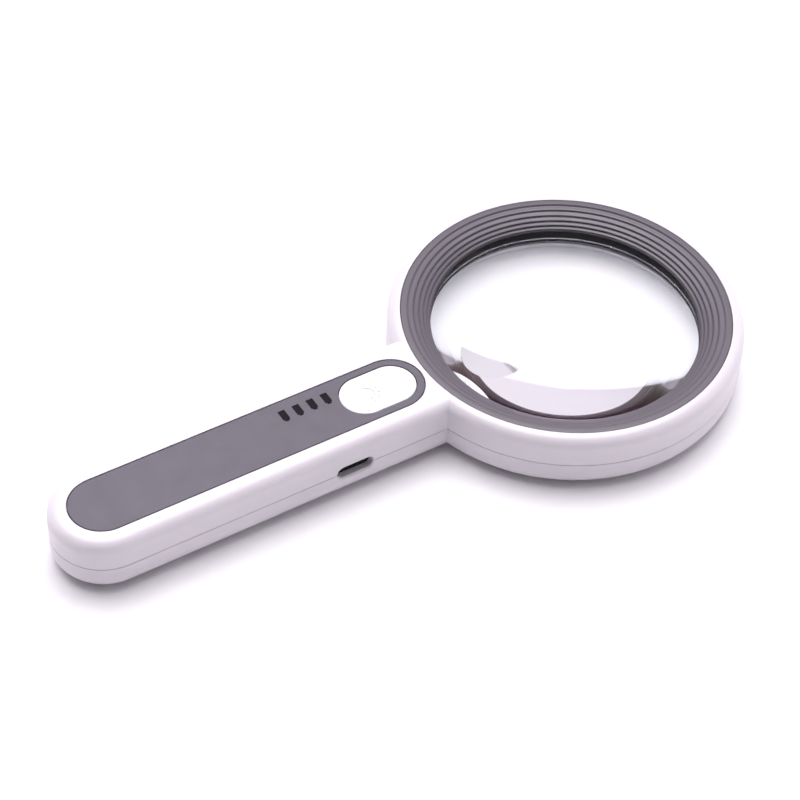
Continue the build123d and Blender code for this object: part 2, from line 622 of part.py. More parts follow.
def make_socket_tongue():
    front = SOCKET_FRONT_Y
    back = front + SOCKET_DEPTH - SOCKET_BACK
    half = TONGUE_WIDTH / 2
    mid = SOCKET_OFFSET
    zs = (PARTING_Z - TONGUE_THICKNESS / 2, PARTING_Z + TONGUE_THICKNESS / 2)
    tongue = block((mid - half, mid + half), (front + 1.2, back), zs)
    return tongue + socket_form(SOCKET_WIDTH - 0.7, SOCKET_HEIGHT - 0.7, back - 1.0, back)


def on_board(place, size):
    """A block standing on the main board, centred on an (offset, y) place."""
    offsets = widened((place[0], place[0]), size[0] / 2)
    ys = widened((place[1], place[1]), size[1] / 2)
    return block(offsets, ys, (BOARD_TOP_Z, BOARD_TOP_Z + size[2]))


def make_indicator_leds():
    return Compound([on_board((offset, INDICATOR_LED_Y), INDICATOR_LED_SIZE) for offset in WINDOW_OFFSETS])


def make_board_chips():
    """The charging chip and the light controller."""
    chips = [on_board(place, CHIP_SIZE) for place in CHIP_PLACES]
    return Compound([chamfer(chip.edges().group_by(Axis.Z)[-1], CHIP_CHAMFER) for chip in chips])


def make_board_passives():
    """A row of small capacitors and resistors beside the switch."""
    first, y = FIRST_PASSIVE_PLACE
    places = [(first + PASSIVE_PITCH * k, y) for k in range(PASSIVE_COUNT)]
    return Compound([on_board(place, PASSIVE_SIZE) for place in places])


def make_battery_cell():
    ys = (-BATTERY_HALF_WIDTH, BATTERY_HALF_WIDTH)
    cell = block(BATTERY_OFFSETS, ys, (BATTERY_LOW_Z, BATTERY_TOP_Z))
    return fillet(cell.edges().filter_by(Axis.X) + cell.edges().filter_by(Axis.Z), CELL_ROUND)


def make_battery_board():
    end = BATTERY_OFFSETS[1]
    return block((end, end + BATTERY_BOARD_THICKNESS), BATTERY_BOARD_YS, BATTERY_BOARD_ZS)


def make_battery_pad():
    return block(widened(BATTERY_OFFSETS, -PAD_MARGIN), BATTERY_BOARD_YS, (FLOOR, BATTERY_LOW_Z))


def battery_lead(y):
    """From the cell's own board down to the main board."""
    start = BATTERY_OFFSETS[1] + BATTERY_BOARD_THICKNESS
    rest = BOARD_TOP_Z + WIRE_RADIUS
    return wire([(start, y, 9.2), (start + 2.6, y, 9.2), (start + 5.0, y, rest), (start + 8.6, y, rest)])


def led_lead(y):
    """From the ring light's board up to the main board."""
    rest = BOARD_TOP_Z + WIRE_RADIUS
    low = LED_BOARD_LOW_Z + LED_BOARD_THICKNESS + WIRE_RADIUS
    return wire([(-41.2, y, low), (-46.6, y, low), (-51.0, y, rest), (-56.0, y, rest)])


# ---------------------------------------------------------------- ring light

def make_led_board():
    top = LED_BOARD_LOW_Z + LED_BOARD_THICKNESS
    board = ring(BARREL_RADIUS + 0.2, LED_BOARD_OUTER, LED_BOARD_LOW_Z, top)
    for place in HEAD_SCREW_PLACES:
        board -= post(*place, HEAD_BOSS_RADIUS + 0.3, 0, TALL)
    return board


def make_leds():
    radial, along, tall = LED_SIZE
    body = Box(radial, along, tall, align=(Align.CENTER, Align.CENTER, Align.MAX))
    body = chamfer(body.edges().group_by(Axis.Z)[0], LED_CHAMFER)
    lens_axis = Pos(HEAD_X, 0, LED_BOARD_LOW_Z)
    return Compound([lens_axis * Rot(0, 0, angle) * Pos(LED_CIRCLE, 0, 0) * body for angle in LED_ANGLES])


def make_diffuser():
    return ring(DIFFUSER_INNER, DIFFUSER_OUTER, DIFFUSER_GAP, DIFFUSER_THICKNESS + DIFFUSER_GAP)


# ---------------------------------------------------------------- fasteners

def pan_screw(place, seat_z, tip_z, head_radius, head_height, shank_radius):
    """A cross-recessed screw; its head stands on the side of seat_z away from its tip."""
    up = 1 if tip_z > seat_z else -1
    head_end = seat_z - up * head_height
    screw = post(*place, shank_radius, min(seat_z, tip_z), max(seat_z, tip_z))
    head = post(*place, head_radius, min(seat_z, head_end), max(seat_z, head_end))
    outer_edge = head.edges().group_by(Axis.Z)[0 if up > 0 else -1]
    head = fillet(outer_edge, HEAD_EDGE_ROUND)
    length, width, depth = CROSS_SIZE
    cross = Box(length, width, depth) + Box(width, length, depth)
    return screw + head - Pos(HEAD_X + place[0], place[1], head_end) * cross


def make_screws(places, *sizes):
    return Compound([pan_screw(place, *sizes) for place in places])


# ---------------------------------------------------------------- nodes

write("lower_shell", make_lower_shell())
write("upper_shell", make_upper_shell())
write("magnifying_lens", make_lens())
write("lens_gasket", make_gasket())
write("lens_retainer", make_retainer())
write("lens_bezel", make_bezel())
write("handle_panel", make_panel())
write("power_button", make_button())
write("indicator_light_guide", make_light_guide())
write("main_board", make_main_board())
write("switch_body", make_switch_body())
write("switch_plunger", make_switch_plunger())
write("switch_dome", make_switch_dome())
write("usb_socket_shell", make_socket_shell())
write("usb_socket_tongue", make_socket_tongue())
write("indicator_leds", make_indicator_leds())
write("board_chips", make_board_chips())
write("board_passives", make_board_passives())
write("battery_cell", make_battery_cell())
write("battery_board", make_battery_board())
write("battery_pad", make_battery_pad())
write("battery_lead_red", battery_lead(BATTERY_LEAD_Y))
write("battery_lead_black", battery_lead(-BATTERY_LEAD_Y))
write("led_board", make_led_board())
write("ring_leds", make_leds())
write("led_diffuser", make_diffuser())
write("led_lead_red", led_lead(LED_LEAD_Y))
write("led_lead_black", led_lead(-LED_LEAD_Y))
write("handle_screws", make_screws(
    HANDLE_SCREWS, SCREW_SEAT_Z, SCREW_TIP_Z, SCREW_HEAD_RADIUS, SCREW_HEAD_HEIGHT, SCREW_RADIUS
))
write("head_screws", make_screws(
    HEAD_SCREW_PLACES, HEAD_SCREW_SEAT_Z, HEAD_SCREW_TIP_Z, HEAD_SCREW_HEAD_RADIUS,
    HEAD_SCREW_HEAD_HEIGHT, SCREW_RADIUS
))
write("board_screws", make_screws(
    BOARD_POST_OFFSETS, BOARD_TOP_Z, BOARD_SCREW_TIP_Z, BOARD_SCREW_HEAD_RADIUS,
    BOARD_SCREW_HEAD_HEIGHT, BOARD_SCREW_RADIUS
))
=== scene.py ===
"""Looks, lights and camera for the low vision magnifier. Metres, in the CAD frame."""
import json
import math

import bpy
from mathutils import Matrix, Vector


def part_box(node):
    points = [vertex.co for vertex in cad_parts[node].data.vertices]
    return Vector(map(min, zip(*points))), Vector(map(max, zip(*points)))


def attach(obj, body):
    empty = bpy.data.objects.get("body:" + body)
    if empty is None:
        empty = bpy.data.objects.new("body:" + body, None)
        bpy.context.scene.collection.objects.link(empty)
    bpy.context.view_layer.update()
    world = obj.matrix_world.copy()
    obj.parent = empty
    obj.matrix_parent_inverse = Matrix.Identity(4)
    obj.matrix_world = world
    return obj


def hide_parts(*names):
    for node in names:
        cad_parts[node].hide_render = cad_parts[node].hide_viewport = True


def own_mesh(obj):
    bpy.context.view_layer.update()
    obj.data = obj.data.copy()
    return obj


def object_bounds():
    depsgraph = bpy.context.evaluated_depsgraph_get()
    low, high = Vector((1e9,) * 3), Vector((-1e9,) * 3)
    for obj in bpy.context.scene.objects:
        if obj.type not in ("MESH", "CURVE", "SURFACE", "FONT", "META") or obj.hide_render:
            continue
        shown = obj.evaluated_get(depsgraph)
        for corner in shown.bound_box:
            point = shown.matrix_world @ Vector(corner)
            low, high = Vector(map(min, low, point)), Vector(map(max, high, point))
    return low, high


MM = 0.001

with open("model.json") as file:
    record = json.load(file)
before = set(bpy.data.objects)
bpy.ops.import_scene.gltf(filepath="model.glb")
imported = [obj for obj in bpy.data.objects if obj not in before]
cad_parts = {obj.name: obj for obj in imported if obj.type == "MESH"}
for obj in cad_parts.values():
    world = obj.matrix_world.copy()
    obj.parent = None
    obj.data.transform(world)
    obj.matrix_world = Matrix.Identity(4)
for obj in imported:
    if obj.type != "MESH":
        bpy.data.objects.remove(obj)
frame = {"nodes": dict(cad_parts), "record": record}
cad_low, cad_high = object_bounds()
nodes = frame["nodes"]


# ---------------------------------------------------------------- places read from the frame

bezel_low, bezel_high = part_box("lens_bezel")
lens_low, lens_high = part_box("magnifying_lens")
AXIS_X = (bezel_low.x + bezel_high.x) / 2
TOP = cad_high.z
LENS_RADIUS = (lens_high.y - lens_low.y) / 2


# ---------------------------------------------------------------- camera and light

CAMERA_YAW = math.radians(33.24)
CAMERA_PITCH = math.radians(46.31)
CAMERA_ROLL = math.radians(-2.60)
CAMERA_TARGET = Vector((-4.03, -6.28, 18.2)) * MM
CAMERA_DISTANCE = 0.6485
CAMERA_FOCAL_LENGTH = 109.7
CAMERA_SENSOR_WIDTH = 36
CAMERA_CLIP = (0.01, 20)

# Each light of the tent has an axis, and starts and ends at two cosines of the angle from it
DARK = (0, 0, 0)
TENT_AXIS = (0.1, 0.27, 1)
TENT_EDGE = (0.845, 0.965)
TENT_LIGHT = (5.5, 5.3, 5.58)
BEHIND_AXIS = (0.75, 0.66, 0)
BEHIND_EDGE = (-0.9, 0.9)
BEHIND_LIGHT = (0.86, 0.81, 0.90)
UP = (0, 0, 1)
HORIZON_EDGE = (0.08, 0.22)
HORIZON_LIGHT = (0.60, 0.585, 0.61)

# Sockets of a Map Range node that works on vectors
RANGE_VECTOR, RANGE_FROM_MIN, RANGE_FROM_MAX, RANGE_TO_MIN, RANGE_TO_MAX = range(6, 11)
RANGE_RESULT = 1


def make_camera():
    forward = Vector((
        math.sin(CAMERA_YAW) * math.cos(CAMERA_PITCH),
        math.cos(CAMERA_YAW) * math.cos(CAMERA_PITCH),
        -math.sin(CAMERA_PITCH),
    ))
    right = Vector((math.cos(CAMERA_YAW), -math.sin(CAMERA_YAW), 0))
    down = forward.cross(right)
    right_rolled = math.cos(CAMERA_ROLL) * right + math.sin(CAMERA_ROLL) * down
    down_rolled = -math.sin(CAMERA_ROLL) * right + math.cos(CAMERA_ROLL) * down
    data = bpy.data.cameras.new("camera")
    data.lens = CAMERA_FOCAL_LENGTH
    data.sensor_width = CAMERA_SENSOR_WIDTH
    data.clip_start, data.clip_end = CAMERA_CLIP
    camera = bpy.data.objects.new("camera", data)
    bpy.context.scene.collection.objects.link(camera)
    turn = Matrix((right_rolled, -down_rolled, -forward)).transposed()
    place = CAMERA_TARGET - forward * CAMERA_DISTANCE
    camera.matrix_world = Matrix.Translation(place) @ turn.to_4x4()
    bpy.context.scene.camera = camera


def make_lights():
    """A white studio tent: bright overhead and behind, dark in front, with a pale low horizon."""
    world = bpy.data.worlds.new("studio")
    bpy.context.scene.world = world
    world.use_nodes = True
    tree = world.node_tree
    background = tree.nodes["Background"]
    coords = tree.nodes.new("ShaderNodeTexCoord")

    def lobe(axis, start, end, low, high):
        """Light that rises smoothly from low to high as a direction nears an axis."""
        along = tree.nodes.new("ShaderNodeVectorMath")
        along.operation = "DOT_PRODUCT"
        along.inputs[1].default_value = Vector(axis).normalized()
        tree.links.new(coords.outputs["Generated"], along.inputs[0])
        rise = tree.nodes.new("ShaderNodeMapRange")
        rise.data_type = "FLOAT_VECTOR"
        rise.interpolation_type = "SMOOTHSTEP"
        rise.inputs[RANGE_FROM_MIN].default_value = (start,) * 3
        rise.inputs[RANGE_FROM_MAX].default_value = (end,) * 3
        rise.inputs[RANGE_TO_MIN].default_value = low
        rise.inputs[RANGE_TO_MAX].default_value = high
        tree.links.new(along.outputs["Value"], rise.inputs[RANGE_VECTOR])
        return rise.outputs[RANGE_RESULT]

    def add(first, second):
        total = tree.nodes.new("ShaderNodeVectorMath")
        total.operation = "ADD"
        tree.links.new(first, total.inputs[0])
        tree.links.new(second, total.inputs[1])
        return total.outputs[0]

    behind = lobe(BEHIND_AXIS, *BEHIND_EDGE, DARK, BEHIND_LIGHT)
    tent = lobe(TENT_AXIS, *TENT_EDGE, DARK, TENT_LIGHT)
    horizon = lobe(UP, *HORIZON_EDGE, HORIZON_LIGHT, DARK)
    tree.links.new(add(add(behind, tent), horizon), background.inputs["Color"])
    background.inputs["Strength"].default_value = 1.0


make_camera()
make_lights()


# ---------------------------------------------------------------- materials

# Colour sockets of a Mix node
MIX_A, MIX_B, MIX_RESULT = 6, 7, 2

# Share of the light that passes straight through the lens
LENS_LIGHT_SHARE = 0.56


def shade(colour, factor, lift=0.0):
    """A colour made lighter or darker."""
    return tuple(c * factor + lift for c in colour)


class Shader:
    """A Principled material and short ways to add nodes to it. Sizes and depths are in metres."""

    def __init__(self, name, **values):
        self.material = bpy.data.materials.new(name)
        self.material.use_nodes = True
        self.tree = self.material.node_tree
        self.main = self.tree.nodes["Principled BSDF"]
        self.coords = self.tree.nodes.new("ShaderNodeTexCoord")
        for socket, value in values.items():
            self.main.inputs[socket.replace("_", " ")].default_value = value

    def node(self, kind, **settings):
        made = self.tree.nodes.new(kind)
        for name, value in settings.items():
            setattr(made, name, value)
        return made

    def link(self, source, target):
        self.tree.links.new(source, target)

    def set(self, socket, source):
        self.link(source, self.main.inputs[socket])

    def place(self, scale=(1, 1, 1), move=(0, 0, 0)):
        """Object coordinates, times a scale and then moved."""
        mapping = self.node("ShaderNodeMapping")
        mapping.inputs["Scale"].default_value = scale
        mapping.inputs["Location"].default_value = move
        self.link(self.coords.outputs["Object"], mapping.inputs["Vector"])
        return mapping.outputs["Vector"]

    def noise(self, size, detail=3.0, rough=0.55, stretch=(1, 1, 1), distortion=0.0):
        """Noise whose features are about size across."""
        made = self.node("ShaderNodeTexNoise")
        made.inputs["Scale"].default_value = 1 / size
        made.inputs["Detail"].default_value = detail
        made.inputs["Roughness"].default_value = rough
        made.inputs["Distortion"].default_value = distortion
        self.link(self.place(stretch), made.inputs["Vector"])
        return made.outputs["Fac"]

    def cells(self, size):
        """Cells about size across, rising from their middles."""
        made = self.node("ShaderNodeTexVoronoi")
        made.inputs["Scale"].default_value = 1 / size
        self.link(self.place(), made.inputs["Vector"])
        return made.outputs["Distance"]

    def ramp(self, source, low, high, start=0.3, end=0.7):
        """Map a 0..1 source from start..end to two values or two colours."""
        if isinstance(low, (int, float)):
            made = self.node("ShaderNodeMapRange", clamp=True)
            made.inputs["From Min"].default_value = start
            made.inputs["From Max"].default_value = end
            made.inputs["To Min"].default_value = low
            made.inputs["To Max"].default_value = high
            self.link(source, made.inputs["Value"])
            return made.outputs["Result"]
        made = self.node("ShaderNodeValToRGB")
        made.color_ramp.elements[0].position = start
        made.color_ramp.elements[1].position = end
        made.color_ramp.elements[0].color = (*low, 1)
        made.color_ramp.elements[1].color = (*high, 1)
        self.link(source, made.inputs["Fac"])
        return made.outputs["Color"]

    def mix(self, factor, source, colour):
        """Mix from a socket's colour to a plain one."""
        made = self.node("ShaderNodeMix", data_type="RGBA")
        made.inputs[MIX_B].default_value = (*colour, 1)
        self.link(factor, made.inputs["Factor"])
        self.link(source, made.inputs[MIX_A])
        return made.outputs[MIX_RESULT]

    def maths(self, operation, first, second):
        """One maths node on a socket and a second socket or a number."""
        made = self.node("ShaderNodeMath", operation=operation)
        self.link(first, made.inputs[0])
        if isinstance(second, float):
            made.inputs[1].default_value = second
        else:
            self.link(second, made.inputs[1])
        return made.outputs[0]

    def bump(self, height, depth, strength=1.0):
        """Add a bump of a depth on top of those already there."""
        made = self.node("ShaderNodeBump")
        made.inputs["Strength"].default_value = strength
        made.inputs["Distance"].default_value = depth
        self.link(height, made.inputs["Height"])
        normal = self.main.inputs["Normal"]
        if normal.links:
            self.link(normal.links[0].from_socket, made.inputs["Normal"])
        self.link(made.outputs["Normal"], normal)

    def tint(self, centre, flat, reach, heights, colour):
        """Tint what lies near a point, or near an upright axis if flat, fading in between two heights."""
        upright = 0 if flat else 1
        apart = self.node("ShaderNodeVectorMath", operation="LENGTH")
        self.link(
            self.place((1, 1, upright), (-centre.x, -centre.y, -centre.z * upright)), apart.inputs[0]
        )
        split = self.node("ShaderNodeSeparateXYZ")
        self.link(self.coords.outputs["Object"], split.inputs[0])
        fade = self.node("ShaderNodeMapRange", interpolation_type="SMOOTHSTEP")
        fade.inputs["From Min"].default_value = heights[0]
        fade.inputs["From Max"].default_value = heights[1]
        self.link(split.outputs["Z"], fade.inputs["Value"])
        near = self.maths("LESS_THAN", apart.outputs["Value"], reach)
        mask = self.maths("MULTIPLY", near, fade.outputs["Result"])
        base = self.main.inputs["Base Color"].links[0].from_socket
        self.set("Base Color", self.mix(mask, base, colour))

    def let_light_through(self, share):
        """Let a share of the light straight through to what lies behind, so its shadow isn't black."""
        path = self.node("ShaderNodeLightPath")
        through = self.node("ShaderNodeBsdfTransparent")
        through.inputs["Color"].default_value = (share, share, share, 1)
        either = self.node("ShaderNodeMixShader")
        self.link(path.outputs["Is Shadow Ray"], either.inputs["Fac"])
        self.link(self.main.outputs["BSDF"], either.inputs[1])
        self.link(through.outputs["BSDF"], either.inputs[2])
        self.link(either.outputs["Shader"], self.tree.nodes["Material Output"].inputs["Surface"])


def moulded(name, colour, rough, grain, depth, spread=0.03):
    """Moulded plastic: eroded grain, faint flow marks, uneven gloss and small specks."""
    s = Shader(name, Roughness=rough, IOR=1.53)
    dark, light = shade(colour, 1 - spread), shade(colour, 1 + spread)
    s.set("Base Color", s.ramp(s.noise(0.028, 4, 0.5), dark, light, 0.25, 0.75))
    s.set("Roughness", s.ramp(s.noise(0.006, 5, 0.6), rough - 0.05, rough + 0.07))
    s.bump(s.noise(0.02, 2, 0.4), 0.00004, 0.35)
    s.bump(s.noise(grain, 2, 0.5), depth, 0.6)
    s.bump(s.cells(grain * 1.7), depth * 0.6, 0.4)
    return s


def clear_acrylic():
    """Polished acrylic with an anti-reflection film, thickness in nanometres."""
    s = Shader("clear_acrylic", Roughness=0.0, IOR=1.49)
    s.main.inputs["Transmission Weight"].default_value = 1.0
    s.main.inputs["Thin Film Thickness"].default_value = 112
    s.main.inputs["Thin Film IOR"].default_value = 1.26
    s.set("Base Color", s.ramp(s.noise(0.03, 2), (0.985, 0.99, 0.99), (0.995, 0.997, 0.996)))
    s.set("Roughness", s.ramp(s.noise(0.012, 4, 0.6), 0.0, 0.012, 0.5, 0.75))
    s.let_light_through(LENS_LIGHT_SHARE)
    return s.material


def moulded_rim():
    """The lens's moulded rim, clear but not polished."""
    s = Shader("moulded_rim", Roughness=0.06, IOR=1.49)
    s.main.inputs["Transmission Weight"].default_value = 1.0
    s.set("Base Color", s.ramp(s.noise(0.004, 3), (0.86, 0.88, 0.88), (0.94, 0.95, 0.95)))
    s.set("Roughness", s.ramp(s.noise(0.001, 4), 0.16, 0.28))
    s.bump(s.noise(0.0005, 2), 0.000004, 0.4)
    s.let_light_through(LENS_LIGHT_SHARE)
    return s.material


def smoked_clear():
    """The light guide's dark windows, which hide the indicators until they light up."""
    s = Shader("smoked_clear", Roughness=0.12, IOR=1.49)
    s.main.inputs["Specular IOR Level"].default_value = 0.06
    s.set("Base Color", s.ramp(s.noise(0.004, 3), (0.009, 0.007, 0.010), (0.014, 0.011, 0.015)))
    s.set("Roughness", s.ramp(s.noise(0.0015, 4), 0.1, 0.2))
    s.bump(s.noise(0.0006, 2), 0.000004, 0.5)
    return s.material


def opal():
    """The ring light's milky diffuser."""
    s = Shader("opal_diffuser", Roughness=0.35, IOR=1.49)
    s.main.inputs["Subsurface Weight"].default_value = 0.6
    s.main.inputs["Subsurface Radius"].default_value = (1, 1, 1)
    s.main.inputs["Subsurface Scale"].default_value = 0.002
    s.set("Base Color", s.ramp(s.noise(0.012, 3), (0.83, 0.82, 0.82), (0.9, 0.895, 0.89)))
    s.set("Roughness", s.ramp(s.noise(0.003, 4), 0.3, 0.42))
    s.bump(s.noise(0.00035, 2), 0.000012, 0.6)
    return s.material


def rubber(name, colour):
    """Matt rubber, silicone or a lead's insulation."""
    s = Shader(name, Roughness=0.6)
    s.set("Base Color", s.ramp(s.noise(0.004, 4), colour, shade(colour, 1.5, 0.01)))
    s.set("Roughness", s.ramp(s.noise(0.002, 3), 0.5, 0.72))
    s.bump(s.noise(0.0005, 3), 0.00002, 0.6)
    return s.material


def circuit_board(name, mask, trace):
    """Solder mask with raised traces, in a brick-like grid of tracks."""
    s = Shader(name, Roughness=0.32)
    tracks = s.node("ShaderNodeTexBrick", offset=0.37, offset_frequency=3)
    tracks.inputs["Scale"].default_value = 1.0
    tracks.inputs["Mortar Size"].default_value = 0.00018
    tracks.inputs["Brick Width"].default_value = 0.0062
    tracks.inputs["Row Height"].default_value = 0.0017
    s.link(s.place(), tracks.inputs["Vector"])
    uneven_mask = s.ramp(s.noise(0.01, 3), shade(mask, 0.85), shade(mask, 1.15))
    s.set("Base Color", s.mix(tracks.outputs["Fac"], uneven_mask, trace))
    s.set("Roughness", s.ramp(s.noise(0.002, 4), 0.26, 0.4))
    s.bump(tracks.outputs["Fac"], 0.00003, 0.8)
    return s.material


def metal(name, colour, rough):
    """Metal with fine marks drawn out along one axis."""
    s = Shader(name, Roughness=rough)
    s.main.inputs["Metallic"].default_value = 1.0
    size, stretch = 0.0012, (1, 6, 1)
    s.set("Base Color", s.ramp(s.noise(0.003, 4), shade(colour, 0.82), colour))
    s.set("Roughness", s.ramp(s.noise(size, 4, 0.6, stretch), rough - 0.08, rough + 0.14))
    s.bump(s.noise(size, 3, 0.6, stretch), 0.000008, 0.7)
    return s.material


def foil_pouch():
    """The cell's wrinkled foil."""
    s = Shader("foil_pouch", Roughness=0.35)
    s.main.inputs["Metallic"].default_value = 0.85
    s.set("Base Color", s.ramp(s.noise(0.02, 3), (0.55, 0.56, 0.58), (0.66, 0.67, 0.69)))
    s.set("Roughness", s.ramp(s.noise(0.004, 5), 0.26, 0.45))
    s.bump(s.noise(0.006, 4, 0.6, distortion=0.8), 0.00012, 0.6)
    return s.material


def led_yellow():
    """The LEDs' yellow phosphor."""
    s = Shader("led_body", Roughness=0.3)
    s.set("Base Color", s.ramp(s.noise(0.0012, 3), (0.78, 0.6, 0.12), (0.86, 0.74, 0.3)))
    s.set("Roughness", s.ramp(s.noise(0.0006, 3), 0.22, 0.4))
    s.bump(s.noise(0.0003, 2), 0.000006, 0.6)
    return s.material


RIM_FINISH = moulded_rim()
casing_white = moulded("casing_white", (0.74, 0.705, 0.745), 0.36, 0.00028, 0.000010)
trim_grey = moulded("trim_grey", (0.090, 0.083, 0.104), 0.46, 0.00030, 0.000016, 0.05)
bezel_grey = moulded("bezel_grey", (0.101, 0.090, 0.107), 0.33, 0.00024, 0.000004, 0.04)
button_white = moulded("button_white", (0.86, 0.85, 0.865), 0.33, 0.00024, 0.000008, 0.02)
dark_plastic = moulded("dark_plastic", (0.022, 0.02, 0.024), 0.42, 0.00026, 0.000010, 0.15)

# The button's sunk sign, whose floor is lilac grey
SIGN_OFFSET = 3.5 * MM
SIGN_REACH = 4.0 * MM
SIGN_HEIGHTS = (TOP - 0.05 * MM, TOP - 0.07 * MM)
button_low, button_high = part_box("power_button")
sign_centre = Vector(((button_low.x + button_high.x) / 2 - SIGN_OFFSET, 0, TOP))
button_white.tint(sign_centre, False, SIGN_REACH, SIGN_HEIGHTS, (0.60, 0.57, 0.64))

# Painted shade inside the lens seat: the casing's bore wall is darkened just under the lens and fades out
# downwards, standing in for the shade that the lens and bezel cast there
SEAT_SHADE_RADIUS = 37.7 * MM
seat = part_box("lens_gasket")[0].z
seat_shade_heights = (seat - 3.4 * MM, seat - 1.3 * MM)
casing_white.tint(Vector((AXIS_X, 0, 0)), True, SEAT_SHADE_RADIUS, seat_shade_heights, (0.07, 0.065, 0.075))

FINISH = {
    "white_casing": casing_white.material,
    "grey_trim": trim_grey.material,
    "dark_trim": dark_plastic.material,
    "white_button": button_white.material,
    "lens_acrylic": clear_acrylic(),
    "smoked_clear": smoked_clear(),
    "opal_diffuser": opal(),
    "black_rubber": rubber("black_rubber", (0.018, 0.018, 0.019)),
    "circuit_board": circuit_board("circuit_board", (0.006, 0.03, 0.014), (0.02, 0.08, 0.04)),
    "white_board": circuit_board("white_board", (0.78, 0.78, 0.74), (0.68, 0.66, 0.58)),
    "black_plastic": dark_plastic.material,
    "led_body": led_yellow(),
    "bright_steel": metal("bright_steel", (0.66, 0.66, 0.67), 0.28),
    "dark_nickel": metal("dark_nickel", (0.13, 0.13, 0.135), 0.35),
    "cell_wrap": foil_pouch(),
    "red_lead": rubber("red_lead", (0.42, 0.015, 0.015)),
    "black_lead": rubber("black_lead", (0.02, 0.02, 0.02)),
}


def give(obj, material):
    obj.data.materials.clear()
    obj.data.materials.append(material)


for part in frame["record"]["subparts"]:
    give(nodes[part["node"]], FINISH[part["material_slot"]])
give(nodes["lens_bezel"], bezel_grey.material)
give(nodes["lens_gasket"], rubber("grey_silicone", (0.20, 0.18, 0.21)))


# ---------------------------------------------------------------- new pieces

class Lathe:
    """A mesh of rings about an upright axis, each joined to the next with its outside to the left."""

    def __init__(self, x, y, around):
        self.x, self.y, self.around = x, y, around
        self.angles = [2 * math.pi * k / around for k in range(around)]
        self.vertices, self.faces, self.rings = [], [], []

    def point(self, offset):
        """Add a point, given from the axis."""
        self.vertices.append((self.x + offset[0], self.y + offset[1], offset[2]))
        return len(self.vertices) - 1

    def ring(self, offsets):
        self.rings.append([self.point(offset) for offset in offsets])

    def circle(self, radius, z):
        self.ring([(radius * math.cos(a), radius * math.sin(a), z) for a in self.angles])

    def steps(self):
        """Each place round a ring with the next one."""
        return [(k, (k + 1) % self.around) for k in range(self.around)]

    def join(self, first, second):
        for k, n in self.steps():
            self.faces.append((first[k], second[k], second[n], first[n]))

    def close_at(self, top, bottom):
        """Join all rings, and the first and the last to a point each."""
        self.faces += [(top, self.rings[0][k], self.rings[0][n]) for k, n in self.steps()]
        for first, second in zip(self.rings, self.rings[1:]):
            self.join(first, second)
        self.faces += [(bottom, self.rings[-1][n], self.rings[-1][k]) for k, n in self.steps()]

    def close_round(self):
        """Join all rings, and the last to the first."""
        for first, second in zip(self.rings, self.rings[1:] + self.rings[:1]):
            self.join(first, second)


def mesh_object(name, lathe, material, body, replaced):
    mesh = bpy.data.meshes.new(name)
    mesh.from_pydata(lathe.vertices, [], lathe.faces)
    mesh.validate()
    obj = bpy.data.objects.new(name, mesh)
    bpy.context.scene.collection.objects.link(obj)
    give(obj, material)
    mesh.shade_smooth()
    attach(obj, body)
    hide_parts(replaced)
    return obj


def sphere_height(curve, radius):
    """Height of a sphere of radius curve above its centre, at a distance from its axis."""
    return math.sqrt(curve ** 2 - radius ** 2)


LENS_CLEAR_RADIUS = 37.4 * MM
LENS_CURVE = 118 * MM
LENS_EDGE_BREAK = 0.15 * MM
LENS_AROUND = 360
LENS_FACE_STEPS = 72
SMALL_LENS_X = -23.05 * MM
SMALL_LENS_RADIUS = 9.75 * MM
SMALL_LENS_CURVE = 24 * MM
SMALL_LENS_STEPS = 28


